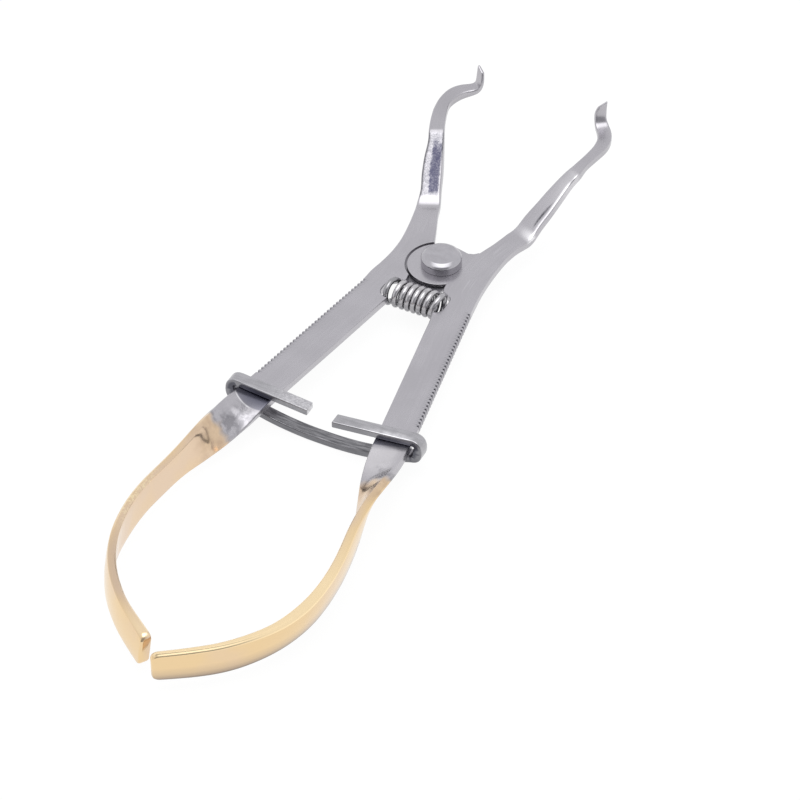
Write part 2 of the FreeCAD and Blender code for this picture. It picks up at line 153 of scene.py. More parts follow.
def makima(t, y, q):
    """Modified Akima interpolation of y (n x k) at the stations q."""
    t, y, q = np.asarray(t, float), np.asarray(y, float), np.asarray(q, float)
    if y.ndim == 1:
        return makima(t, y[:, None], q)[:, 0]
    h = np.diff(t)[:, None]
    m = np.diff(y, axis=0) / h
    a1 = 2 * m[0] - m[1]
    a0 = 2 * a1 - m[0]
    b1 = 2 * m[-1] - m[-2]
    b2 = 2 * b1 - m[-1]
    M = np.vstack([a0, a1, m, b1, b2])
    w1 = np.abs(M[3:] - M[2:-1]) + np.abs(M[3:] + M[2:-1]) / 2
    w2 = np.abs(M[1:-2] - M[:-3]) + np.abs(M[1:-2] + M[:-3]) / 2
    s = w1 + w2
    d = np.where(s > 1e-9, (w1 * M[1:-2] + w2 * M[2:-1]) / np.where(s > 1e-9, s, 1), 0.0)
    i = np.clip(np.searchsorted(t, q, side="right") - 1, 0, len(t) - 2)
    hh = (t[i + 1] - t[i])[:, None]
    u = ((q - t[i]) / (t[i + 1] - t[i]))[:, None]
    return ((2 * u**3 - 3 * u**2 + 1) * y[i] + (u**3 - 2 * u**2 + u) * hh * d[i]
            + (-2 * u**3 + 3 * u**2) * y[i + 1] + (u**3 - u**2) * hh * d[i + 1])


def stations(c):
    return np.concatenate([[0.0], np.cumsum(np.linalg.norm(np.diff(c, axis=0), axis=1))])


def smooth_rows(s, arrs, sigma):
    """Gaussian smoothing along the stations, width sigma(s) in millimetres."""
    d = s[None, :] - s[:, None]
    gap = np.gradient(s)
    w = np.exp(-0.5 * (d / sigma[:, None]) ** 2) * gap[None, :]
    w /= w.sum(1, keepdims=True)
    return [w @ a for a in arrs]


def steps(a, b, n):
    return np.linspace(a, b, n + 1)


def sstep(x):
    x = np.clip(x, 0, 1)
    return x * x * (3 - 2 * x)


def mesh_object(name, verts, faces):
    me = bpy.data.meshes.new(name)
    me.from_pydata([tuple(v) for v in verts], [], [tuple(f) for f in faces])
    bm = bmesh.new()
    bm.from_mesh(me)
    bmesh.ops.recalc_face_normals(bm, faces=bm.faces)
    bm.to_mesh(me)
    bm.free()
    me.update()
    ob = bpy.data.objects.new(name, me)
    bpy.context.scene.collection.objects.link(ob)
    return ob


def tube_faces(n, k):
    f = []
    for i in range(n - 1):
        for j in range(k):
            a, b = i * k + j, i * k + (j + 1) % k
            f.append((a, b, b + k, a + k))
    return f


def closed_sweep(name, loops):
    """Closed body through rings of equal length, with a fan at either end."""
    loops = np.asarray(loops, float)
    n, k, _ = loops.shape
    v = list(loops.reshape(-1, 3))
    f = tube_faces(n, k)
    for i in (0, n - 1):
        v.append(loops[i].mean(0))
        c = len(v) - 1
        f += [(i * k + j, i * k + (j + 1) % k, c) for j in range(k)]
    return mesh_object(name, v, f)


def lathe(name, profile, cx=0.0, cy=0.0, n=128):
    """Closed body of revolution round Z; the profile runs from axis to axis or is a closed loop."""
    on_axis = profile[0][0] < 1e-9
    v, f = [], []
    prof = profile[1:-1] if on_axis else profile
    k = len(prof)
    for i in range(n):
        a = 2 * math.pi * i / n
        for r, z in prof:
            v.append((cx + r * math.cos(a), cy + r * math.sin(a), z))
    for i in range(n):
        j = (i + 1) % n
        for q in range(k - 1 if on_axis else k):
            p = (q + 1) % k
            f.append((i * k + q, j * k + q, j * k + p, i * k + p))
    if on_axis:
        for e, q in ((0, 0), (-1, k - 1)):
            v.append((cx, cy, profile[e][1]))
            c = len(v) - 1
            f += [(i * k + q, ((i + 1) % n) * k + q, c) for i in range(n)]
    return mesh_object(name, v, f)


def prism(name, rings):
    """Closed body through stacked outlines (each a list of (x, y)) at given heights."""
    k = len(rings[0][1])
    v = [(x, y, z) for z, pts in rings for x, y in pts]
    f = tube_faces(len(rings), k)
    f.append(tuple(range(k)))
    f.append(tuple((len(rings) - 1) * k + j for j in range(k)))
    return mesh_object(name, v, f)


def settle(ob, mods):
    """Apply boolean modifiers given as (operation, other object) and drop the others."""
    for op, other in mods:
        m = ob.modifiers.new("b", "BOOLEAN")
        m.operation, m.solver, m.object = op, "EXACT", other
    dg = bpy.context.evaluated_depsgraph_get()
    dg.update()
    me = bpy.data.meshes.new_from_object(ob.evaluated_get(dg), depsgraph=dg)
    ob.modifiers.clear()
    old = ob.data
    ob.data = me
    bpy.data.meshes.remove(old)
    for _, other in mods:
        o = other.data
        bpy.data.objects.remove(other)
        bpy.data.meshes.remove(o)
    return ob


def finish_mesh(ob, angle=34.0, to_metres=True):
    """Clean, smooth with sharp edges kept, weight the normals by area, move to the row frame."""
    me = ob.data
    bm = bmesh.new()
    bm.from_mesh(me)
    bmesh.ops.remove_doubles(bm, verts=bm.verts, dist=0.0015)
    bmesh.ops.dissolve_degenerate(bm, edges=bm.edges, dist=0.0005)
    bmesh.ops.recalc_face_normals(bm, faces=bm.faces)
    if to_metres:
        for v in bm.verts:
            v.co = Vector(to_m(v.co))
    bm.to_mesh(me)
    bm.free()
    for p in me.polygons:
        p.use_smooth = True
    me.set_sharp_from_angle(angle=math.radians(angle))
    m = ob.modifiers.new("w", "WEIGHTED_NORMAL")
    m.mode, m.weight, m.keep_sharp = "FACE_AREA", 50, True
    dg = bpy.context.evaluated_depsgraph_get()
    dg.update()
    new = bpy.data.meshes.new_from_object(ob.evaluated_get(dg), depsgraph=dg)
    ob.modifiers.clear()
    ob.data = new
    bpy.data.meshes.remove(me)
    new.name = ob.name
    return ob


def put(me, name, values):
    a = me.attributes.get(name) or me.attributes.new(name, "FLOAT", "POINT")
    a.data.foreach_set("value", np.asarray(values, np.float32))


# ------------------------------------------------------------ section shape
def section_uv(w, t, r, inset, n_arc=4, n_top=6, n_side=2, inset_u=None, wide=(0.0, 0.0, 0.0, 0.0)):
    """Points of a rounded rectangle in (u, v): u 0 inner .. 1 outer, v 0 bottom .. 1 top.
    wide: how much farther along u each corner's rounding reaches (A, B, C, D)."""
    r = min(r, 0.46 * t, 0.46 * w)
    inset = min(inset, 0.45 * t, 0.45 * w)
    iu = (inset if inset_u is None else min(max(inset, inset_u), 0.45 * w)) / w
    iv = inset / t
    base_u, rv = max(r - inset, 0.02) / w, max(r - inset, 0.02) / t
    rus = [base_u + min(x, 0.40 * w) / w for x in wide]
    ru = base_u
    lo_u, hi_u, lo_v, hi_v = iu, 1 - iu, iv, 1 - iv
    out = []

    def arc(cu, cv, a0):
        ra = rus[{0: 0, 90: 1, 180: 2, 270: 3}[a0]]
        cu += (ru - ra) if a0 in (0, 270) else (ra - ru)
        for i in range(n_arc + 1):
            a = math.radians(a0 + 90.0 * i / n_arc)
            out.append((cu + ra * math.cos(a), cv + rv * math.sin(a)))

    def line(p, q, n):
        for i in range(1, n):
            out.append((p[0] + (q[0] - p[0]) * i / n, p[1] + (q[1] - p[1]) * i / n))

    arc(hi_u - ru, hi_v - rv, 0)
    line((hi_u - rus[0], hi_v), (lo_u + rus[1], hi_v), n_top)
    arc(lo_u + ru, hi_v - rv, 90)
    line((lo_u, hi_v - rv), (lo_u, lo_v + rv), n_side)
    arc(lo_u + ru, lo_v + rv, 180)
    line((lo_u + rus[2], lo_v), (hi_u - rus[3], lo_v), n_top)
    arc(hi_u - ru, lo_v + rv, 270)
    line((hi_u, lo_v + rv), (hi_u, hi_v - rv), n_side)
    return np.array(out)


# ------------------------------------------------------------------- arms
def front_rows(side):
    n = unit(SLOPE_N[side])
    m1 = unit((n[0], n[1], n[2] + 1.0))
    c = STOCK / m1[2]
    raw = [((CROTCH[side][0][0], CROTCH[side][0][1], HALF),
            (SHOULDER[side][-1][0], SHOULDER[side][-1][1], HALF), (0, 0, 1), STOCK, 0.0)]
    for i, (a, b) in enumerate(SHANK[side]):
        fold = i in (0, 5)
        raw.append((a, b, m1 if fold else n, c if fold else STOCK, FLARE[side][i]))
    z = JAW_Z[side]
    for (ax, ay), (bx, by) in JAW[side]:
        raw.append(((ax, ay, z), (bx, by, z), (0, 0, 1), STOCK, 0.0))
    for a, b, d, t in BLADE[side]:
        raw.append((a, b, unit(d), t, 0.0))
    rows = []
    for a, b, d, t, fl in reversed(raw):
        a, b, d = np.array(a, float), np.array(b, float), np.array(d, float)
        rows.append((b, a, a - d * t - np.array([fl, 0, 0]), b - d * t))
    return np.array(rows)            # tip first; corners A B C D


def outer_line(side):
    a, b = OUTER_EDGE[side]
    pts = [(a + (b - a) * (-10.0 - y) / 40.0, y) for y in (-50.0, -44.0, -38.0, -32.0, -26.0, -20.0, -15.0, -11.0)]
    return np.array(pts + list(SHOULDER[side]))


def inner_line(side):
    low = list(INNER_LOW[side])
    x1, y1 = low[-1]
    x2 = INNER_50[side]
    far = [(x2 + (x1 - x2) * k / 4.0, -50.0 + (y1 + 50.0) * k / 4.0) for k in range(0, 4)]
    a, b = low[1], low[2]
    mid = [(a[0] + (b[0] - a[0]) * k / 4.0, a[1] + (b[1] - a[1]) * k / 4.0) for k in (3, 2, 1)]
    pts = far + [low[2]] + mid + [low[1], low[0]] + list(reversed(INNER[side])) + [CROTCH[side][-1]]
    return np.array(pts)


def plate_rows(side):
    o, i = outer_line(side), inner_line(side)
    rows = []
    y_lap = CROTCH[side][-1][1]
    cro = np.array(CROTCH[side])
    ci = stations(cro)
    nk = 22
    ox_lap = makima(o[:, 1], o[:, 0], [y_lap])[0]
    yo = steps(SHOULDER[side][-1][1], y_lap, nk)
    for k in range(1, nk + 1):
        f = k / nk
        p = makima(ci, cro, [f * ci[-1]])[0]
        y = yo[k]
        rows.append(((makima(o[:, 1], o[:, 0], [y])[0], y), (p[0], p[1])))
    ys = np.concatenate([steps(y_lap, -11.0, 44)[1:], steps(-11.0, -46.3, 353)[1:], steps(-46.3, -50.0, 9)[1:]])
    xo = makima(o[:, 1], o[:, 0], ys)
    xi = makima(i[:, 1], i[:, 0], ys)
    for y, a, b in zip(ys, xo, xi):
        rows.append(((a, y), (b, y)))
    out = []
    for (ax, ay), (bx, by) in rows:
        out.append(((ax, ay, HALF), (bx, by, HALF), (bx, by, -HALF), (ax, ay, -HALF)))
    return np.array(out)


def handle_rows(side):
    rows = HANDLE[side]
    out = []
    for i, (x, y, t, w, lean, tw) in enumerate(rows):
        p, q = rows[max(i - 1, 0)], rows[min(i + 1, len(rows) - 1)]
        tx, ty = q[0] - p[0], q[1] - p[1]
        if i == 0:
            tx, ty = 0.0, -1.0
        k = math.hypot(tx, ty)
        nx, ny = -ty / k, tx / k
        a = math.radians(tw)
        wd = (nx * math.cos(a), ny * math.cos(a), math.sin(a))
        td = (-nx * math.sin(a), -ny * math.sin(a), math.cos(a))
        s = lean / 2.0
        cs = []
        for sw, st in ((1, 1), (-1, 1), (-1, -1), (1, -1)):
            cs.append((x + wd[0] * sw * w / 2 + td[0] * st * t / 2 + nx * s * sw * math.sin(a),
                       y + wd[1] * sw * w / 2 + td[1] * st * t / 2 + ny * s * sw * math.sin(a),
                       wd[2] * sw * w / 2 + td[2] * st * t / 2))
        if i == 0:
            xo = OUTER_EDGE[side][1]
            cs = [(xo, y, t / 2), (INNER_50[side], y, t / 2),
                  (INNER_50[side], y, -t / 2), (xo, y, -t / 2)]
        out.append(cs)
    return np.array(out)


def notch(y):
    """Depth of the file-cut serration of the outer edge at y."""
    k = (np.asarray(y) - TOOTH_TO) / PITCH
    c = 0.5 + 0.5 * np.cos(2 * math.pi * k)
    on = sstep((y - (TOOTH_TO - 0.5)) / 0.4) * sstep(((TOOTH_FROM + 0.5) - y) / 0.4)
    return c ** 1.5 * on


def arm(side):
    fr = front_rows(side)
    s = stations(fr.mean(1))
    end = [0.0, 0.02, 0.06, 0.12, 0.20, 0.30]
    q = np.concatenate([end, steps(0.45, s[-1], int(s[-1] / 0.33))])
    front = makima(s, fr.reshape(len(fr), 12), q).reshape(-1, 4, 3)
    plate = plate_rows(side)
    hr = handle_rows(side)
    hs = stations(hr.mean(1))
    L = hs[-1]
    tail = [L - e for e in (1.60, 1.38, 1.16, 0.95, 0.78, 0.62, 0.46, 0.32, 0.20, 0.12, 0.06, 0.02, 0.0)]
    hq = np.concatenate([steps(0.0, L - 1.85, int(L / 0.42))[1:], tail])
    handle = makima(hs, hr.reshape(len(hr), 12), hq).reshape(-1, 4, 3)
    rows = np.concatenate([front, plate, handle])
    zone = np.array([0] * len(front) + [1] * len(plate) + [2] * len(handle))
    c = rows.mean(1)
    st = stations(c)
    st = st + np.arange(len(st)) * 1e-7
    total = st[-1]
    sig = np.where(zone == 0, 0.50, np.where(zone == 1, 0.45, 1.1))
    sig = np.convolve(np.pad(sig, 6, mode="edge"), np.ones(13) / 13, "valid")
    sig = np.minimum(sig, np.minimum(st, total - st) * 0.45 + 0.01)
    corners = [rows[:, k, :] for k in range(4)]
    corners = smooth_rows(st, corners, sig)
    A, B, C, D = corners
    c = (A + B + C + D) / 4
    st = stations(c)
    total = st[-1]
    plate_end = st[len(front) + len(plate) - 1]
    fold1 = st[len(front) - 1]
    top_fold = fold1 - stations(np.array([r[0] for r in SHANK[side]]))[-1] - 2.0
    rng = np.random.default_rng(11 if side == "left" else 23)
    waves = [(rng.uniform(0.7, 1.9), rng.uniform(-3.2, 3.2), rng.uniform(0, 6.28), rng.uniform(0.5, 1.0)) for _ in range(9)]
    loops = []
    for i in range(len(rows)):
        w = np.linalg.norm(A[i] + D[i] - B[i] - C[i]) / 2
        t = np.linalg.norm(A[i] + B[i] - C[i] - D[i]) / 2
        if zone[i] == 0:
            r = 0.34
        elif zone[i] == 1:
            r = 0.26
        else:
            r = 0.26 + 0.20 * sstep((st[i] - plate_end) / 18.0)
        e = min(st[i], total - st[i])
        re = min(0.34 if st[i] > total / 2 else 0.24, 0.44 * t)
        inset = re - math.sqrt(max(re * re - (re - min(e, re)) ** 2, 0.0))
        inset_u = None
        wide = (0.0, 0.0, 0.0, 0.0)
        if zone[i] == 0:              # the shank's outer edge is rolled over
            k = sstep((st[i] - top_fold) / 2.0) * sstep((fold1 - 0.6 - st[i]) / 2.0)
            wide = ((0.35 if side == "right" else 0.20) * k, 0.0, 0.0, 0.0)
        if zone[i] == 2:
            rb = 1.60 if side == "right" else 1.30   # rounded corners of the handle's end
            ee = total - st[i]
            if ee < rb:
                inset_u = rb - math.sqrt(max(rb * rb - (rb - ee) ** 2, 0.0))
        uv = section_uv(w, t, r, inset, n_side=5, inset_u=inset_u, wide=wide)
        u, v = uv[:, :1], uv[:, 1:]
        p = (B[i] * (1 - u) + A[i] * u) * v + (C[i] * (1 - u) + D[i] * u) * (1 - v)
        if zone[i] == 1:
            d = float(notch(np.array(c[i][1])))
            if d > 0.001:
                edge = sstep((u[:, 0] - (1 - 0.82 / w)) / (0.52 / w))
                wt = 0.12 + 0.88 * sstep((v[:, 0] - 0.10) / 0.75)
                p[:, 0] -= 0.47 * d * edge * wt
                p[:, 1] -= 0.08 * d * edge * wt
        if zone[i] == 2:
            k = sstep((st[i] - plate_end - 14.0) / 20.0)
            bul = np.clip(1 - (2 * u[:, 0] - 1) ** 2, 0, 1) * k
            out_dir = unit(D[i] + C[i] - A[i] - B[i])
            p += (bul * (v[:, 0] < 0.03) * 0.26)[:, None] * out_dir
            # the upper edge is dressed round
            crown = np.clip(1 - (2 * v[:, 0] - 1) ** 2, 0, 1) * (u[:, 0] > 1 - 0.02 / w - (inset if inset_u is None else max(inset, inset_u)) / w)
            p += (0.17 * k * crown)[:, None] * unit(A[i] + D[i] - B[i] - C[i])
            # the strap's hammered twist: shallow uneven hollows where the plating ends
            c0, sp = (12.5, 4.2) if side == "left" else (12.5, 4.6)
            g = math.exp(-0.5 * ((st[i] - plate_end - c0) / sp) ** 2)
            if g > 0.02:
                lat_ = (u[:, 0] - 0.5) * w
                n = np.zeros(len(u))
                for f1, f2, ph, am in waves:
                    n += am * np.sin(f1 * (st[i] - plate_end) * 0.9 + f2 * 0.28 * lat_ + ph)
                fade = sstep(np.minimum(u[:, 0], 1 - u[:, 0]) / 0.20)
                p += (g * 0.060 * n * fade * (v[:, 0] > 0.97))[:, None] * (-out_dir)
        loops.append(p)
    ob = closed_sweep(side + "_arm_body", loops)

    top = side == "right"            # the right arm's disc is the upper one
    sg = 1.0 if top else -1.0
    # recess for the other arm's disc, chamfered at the open side
    z0, z1 = -sg * LAP * -1.0, -sg * (HALF + 0.5)
    R = RECESS_R
    prof = [(0.0, sg * LAP), (R, sg * LAP), (R, -sg * (HALF - 0.10)), (R + 0.10, -sg * HALF),
            (R + 0.60, -sg * (HALF + 0.5)), (0.0, -sg * (HALF + 0.5))]
    recess = lathe("recess", prof, RECESS_C[0], RECESS_C[1], 144)

    def seat_ring(z, e):
        x, h, r = NOTCH_X[side] + e, NOTCH_HW + e, NOTCH_CR + e
        pts = [(0.0, -h), (x - r, -h)]
        for i in range(1, 9):
            a = math.radians(-90 + i * 10)
            pts.append((x - r + r * math.cos(a), -h + r + r * math.sin(a)))
        pts += [(x, -h + r), (x, h - r)]
        for i in range(1, 9):
            a = math.radians(i * 10)
            pts.append((x - r + r * math.cos(a), h - r + r * math.sin(a)))
        pts += [(x - r, h), (0.0, h)]
        return z, [(px, py + NOTCH_Y) for px, py in pts]

    seat = prism("seat", [seat_ring(-1.6, 0.80), seat_ring(-HALF, 0.14), seat_ring(-HALF + 0.14, 0.0),
                          seat_ring(HALF - 0.14, 0.0), seat_ring(HALF, 0.14), seat_ring(1.6, 0.80)])
    e = 0.13
    prof = [(BORE_R, sg * LAP), (LOBE_R - 0.03, sg * LAP), (LOBE_R, sg * (LAP + 0.03)), (LOBE_R, sg * (HALF - e)),
            (LOBE_R - 0.04, sg * (HALF - 0.04)), (LOBE_R - e, sg * HALF), (BORE_R + 0.05, sg * HALF),
            (BORE_R, sg * (HALF - 0.05))]
    lobe = lathe("lobe", prof, LOBE_C[0], LOBE_C[1], 144)
    for v in lobe.data.vertices:     # the bore stays on the pivot axis
        dx, dy = v.co.x - LOBE_C[0], v.co.y - LOBE_C[1]
        if math.hypot(dx, dy) < 3.0:
            v.co.x -= LOBE_C[0]
            v.co.y -= LOBE_C[1]
    wd = WEDGE[side]
    za, zb = sorted((sg * LAP, sg * HALF))
    wedge = prism("wedge", [(za, wd), (zb, wd)])
    mods = [("DIFFERENCE", recess), ("DIFFERENCE", seat), ("UNION", lobe), ("UNION", wedge)]
    if not top:                      # web of the lower half behind the spring
        pts = [(4.60, -5.00), (4.12, -7.75), (3.20, -8.10), (0.00, -8.10),
               (-2.20, -7.75), (-3.30, -7.20), (-3.30, -5.50), (0.00, -3.50)]
        mods.append(("UNION", prism("web", [(-HALF, pts), (-LAP, pts)])))
    settle(ob, mods)

    # station, lateral place and masks for the materials
    me = ob.data
    co = np.array([v.co for v in me.vertices], float).reshape(-1, 3)
    if len(co) == 0:
        raise RuntimeError("empty arm")
    if side == "left":
        for v in me.vertices:
            v.co.x = -v.co.x
    finish_mesh(ob)
    me = ob.data
    n = len(me.vertices)
    co = np.zeros(n * 3)
    me.vertices.foreach_get("co", co)
    co = co.reshape(-1, 3) * 1000.0 - SHIFT
    if side == "left":
        co[:, 0] *= -1
    W = A + D - B - C
    W /= np.linalg.norm(W, axis=1, keepdims=True)
    T = A + B - C - D
    T /= np.linalg.norm(T, axis=1, keepdims=True)
    tan = np.gradient(c, axis=0)
    tan /= np.linalg.norm(tan, axis=1, keepdims=True)
    idx = np.zeros(n, int)
    for k in range(0, n, 4000):
        d2 = ((co[k:k + 4000, None, :] - c[None, :, :]) ** 2).sum(2)
        idx[k:k + 4000] = d2.argmin(1)
    rel = co - c[idx]
    s_at = st[idx] + (rel * tan[idx]).sum(1)
    lat = (rel * W[idx]).sum(1)
    th = (rel * T[idx]).sum(1)
    put(me, "run", s_at - plate_end)          # mm along the arm, 0 at the handle's root
    put(me, "lat", lat)                        # mm across, outwards
    put(me, "thk", th)
    # serration: painted shade, dark at the roots of the notches
    nd = np.where((co[:, 1] < TOOTH_FROM + 0.5) & (co[:, 1] > TOOTH_TO - 0.5), notch(co[:, 1]), 0.0)
    xo = OUTER_EDGE[side][0] + (OUTER_EDGE[side][1] - OUTER_EDGE[side][0]) * (-10.0 - co[:, 1]) / 40.0
    nd = nd * sstep((co[:, 0] - (xo - 0.70)) / 0.3) * sstep((co[:, 2] + 0.6) / 0.8)
    put(me, "root", nd)
    rr = np.hypot(co[:, 0], co[:, 1])
    # painted shade on the lap faces of the joint, stronger towards the spring
    joint_shade = (np.abs(np.abs(co[:, 2]) - LAP) < 0.03) * (rr < 9.6)
    joint_shade = joint_shade * (0.30 + 0.70 * sstep((-1.0 - co[:, 1]) / 4.0))
    put(me, "joint_shade", joint_shade)
    # where the sloping shank's face lies between its two folds, 0..1
    y0 = (SHANK[side][0][0][1] + SHANK[side][0][1][1]) / 2
    y1 = (SHANK[side][5][0][1] + SHANK[side][5][1][1]) / 2
    f = (co[:, 1] + 0.44 * lat - y0) / (y1 - y0)
    put(me, "slope", np.where(co[:, 2] > 0.2, f, -1.0))
    return ob


# ------------------------------------------------------------------- ring
def ring():
    RING_W, RING_T, RING_TOP, RING_OUT = 2.70, 1.50, 2.45, 21.40
    ra, rb, e = 1.30, 1.80, 2.0 / 2.50
    xc = RING_OUT - RING_T / 2 - ra
    zt = RING_TOP - RING_T / 2
    zc = zt - rb

    def loop(deg):
        c, s = math.cos(math.radians(deg)), math.sin(math.radians(deg))
        return (ra * math.copysign(abs(c) ** e, c), zc + rb * math.copysign(abs(s) ** e, s))

    pts = []
    for i in range(8):
        pts.append((-2.80 + (-xc + 2.80) * i / 7.0, -51.50 + 1.40 * i / 7.0, zt))
    for i in range(1, 11):
        u, z = loop(90 - i * 18)
        pts.append((-xc - u, -50.10 - 0.7 * i / 10.0, z))
    lo = pts[-1]
    for i in range(1, 14):
        x = lo[0] + (-2 * lo[0]) * i / 14.0
        k = (abs(x) / abs(lo[0])) ** 2.2
        pts.append((x, -50.80, -5.30 + (lo[2] + 5.30) * k))
    for i in range(0, 11):
        u, z = loop(-90 + i * 18)
        pts.append((xc + u, -50.80 + 0.6 * i / 10.0, z))
    for i in range(1, 8):
        pts.append((xc + (3.00 - xc) * i / 7.0, -50.20 - 2.10 * i / 7.0, zt))
    pts = np.array(pts)
    s = stations(pts)
    L = s[-1]
    end = [0.0, 0.02, 0.06, 0.12, 0.20]
    q = np.concatenate([end, steps(0.35, L - 0.35, int(L / 0.26)), [L - e_ for e_ in reversed(end)]])
    mid = makima(s, pts, q)
    sg = np.minimum(0.35, np.minimum(q, L - q) * 0.45 + 0.01)
    mid = smooth_rows(q, [mid], sg)[0]
    loops = []
    for i in range(len(mid)):
        a, b = mid[max(i - 1, 0)], mid[min(i + 1, len(mid) - 1)]
        tx, tz = b[0] - a[0], b[2] - a[2]
        k = math.hypot(tx, tz)
        nx, nz = -tz / k, tx / k
        e_ = min(q[i], L - q[i])
        re = 0.20
        inset = re - math.sqrt(max(re * re - (re - min(e_, re)) ** 2, 0.0))
        uv = section_uv(RING_W, RING_T, 0.30, inset, 5, 4, 2)
        y = (uv[:, 0] - 0.5) * RING_W
        h = (uv[:, 1] - 0.5) * RING_T
        swell = 0.42 * max(0.0, (abs(mid[i][0]) - xc) / ra) ** 3
        h = h + swell * np.clip(h / (RING_T / 2), 0, 1)
        loops.append(np.stack([mid[i][0] + nx * h, mid[i][1] + y, mid[i][2] + nz * h], 1))
    ob = closed_sweep("sliding_ring_bar", loops)
    finish_mesh(ob)
    me = ob.data
    n = len(me.vertices)
    co = np.zeros(n * 3)
    me.vertices.foreach_get("co", co)
    co = co.reshape(-1, 3) * 1000.0 - SHIFT
    idx = ((co[:, None, :] - mid[None, :, :]) ** 2).sum(2).argmin(1)
    m = mid[idx]
    off = np.abs(co[:, 1] - m[:, 1]) / (RING_W / 2)
    put(me, "flank", sstep((off - 0.84) / 0.12))               # front and back faces of the bar
    ins = (np.abs(co[:, 0]) < np.abs(m[:, 0])) & (np.abs(m[:, 0]) > xc - 0.4) & (np.abs(co[:, 2] - zc) < rb + 0.1)
    put(me, "inside", ins * 1.0)                                # inner side of the loops
    return ob


# ------------------------------------------------------------------ rivet
def rivet():
    H = HALF
    zt, zb = H + 0.02, -H - 0.02
    p = [(0.0, zb - 1.45), (2.0, zb - 1.45), (2.75, zb - 1.45), (2.98, zb - 1.41), (3.18, zb - 1.28)]
    p += [(3.42, zb - 1.05), (3.56, zb - 0.86), (3.60, zb - 0.70), (3.60, zb - 0.06), (3.56, zb), (2.50, zb), (2.50, zt)]
    p += [(4.10, zt), (4.17, zt + 0.07), (4.17, H + 1.52)]
    p += [(4.15, H + 1.66), (4.10, H + 1.80), (4.02, H + 1.93), (3.92, H + 2.05), (3.80, H + 2.15),
          (3.60, H + 2.30), (3.42, H + 2.43), (3.32, H + 2.50), (3.20, H + 2.54), (3.05, H + 2.55),
          (2.2, H + 2.55), (1.1, H + 2.55), (0.0, H + 2.55)]
    ob = lathe("pivot_rivet_head", p, 0, 0, 112)
    finish_mesh(ob, 40.0)
    return ob


# ----------------------------------------------------------------- spring
def spring_half(name, left):
    wr, turns = 0.575, 8.0
    R, x0, x1 = 3.0 - wr, -5.75 + wr, 5.80 - wr
    n = int(turns * 36)
    t = np.linspace(0, turns * 2 * math.pi, n + 1)
    f = t / t[-1]
    x = x0 + (x1 - x0) * f
    y = -11.3 - R * np.sin(t)
    z = -R * np.cos(t)
    # the end coils open out into the two seats and lean over the plates at their tops
    x = x + 0.75 * sstep((f - 0.74) / 0.24) * np.clip(z / R, 0, 1) + 0.12 * sstep((f - 0.86) / 0.10)
    x = x - 1.05 * sstep((0.26 - f) / 0.24) * (0.60 + 0.40 * np.clip(z / R, -1, 1)) - 0.30 * sstep((0.10 - f) / 0.10)
    c = np.stack([x, y, z], 1)
    half = n // 2
    rng = range(0, half + 1) if left else range(half, n + 1)
    loops = []
    k = 14
    for i in rng:
        a, b = c[max(i - 1, 0)], c[min(i + 1, n)]
        tn = unit(b - a)
        rad = unit(np.array([0.0, -math.sin(t[i]), -math.cos(t[i])]))
        rad = unit(rad - tn * np.dot(rad, tn))
        bi = np.cross(tn, rad)
        e = min(i, n - i) / 36.0 * 2 * math.pi * R
        re = 0.16
        rr = wr - (re - math.sqrt(max(re * re - (re - min(e, re)) ** 2, 0.0)))
        loops.append([c[i] + rr * (math.cos(q) * rad + math.sin(q) * bi)
                      for q in np.linspace(0, 2 * math.pi, k, endpoint=False)])
    ob = closed_sweep(name, loops)
    finish_mesh(ob, 60.0)
    return ob


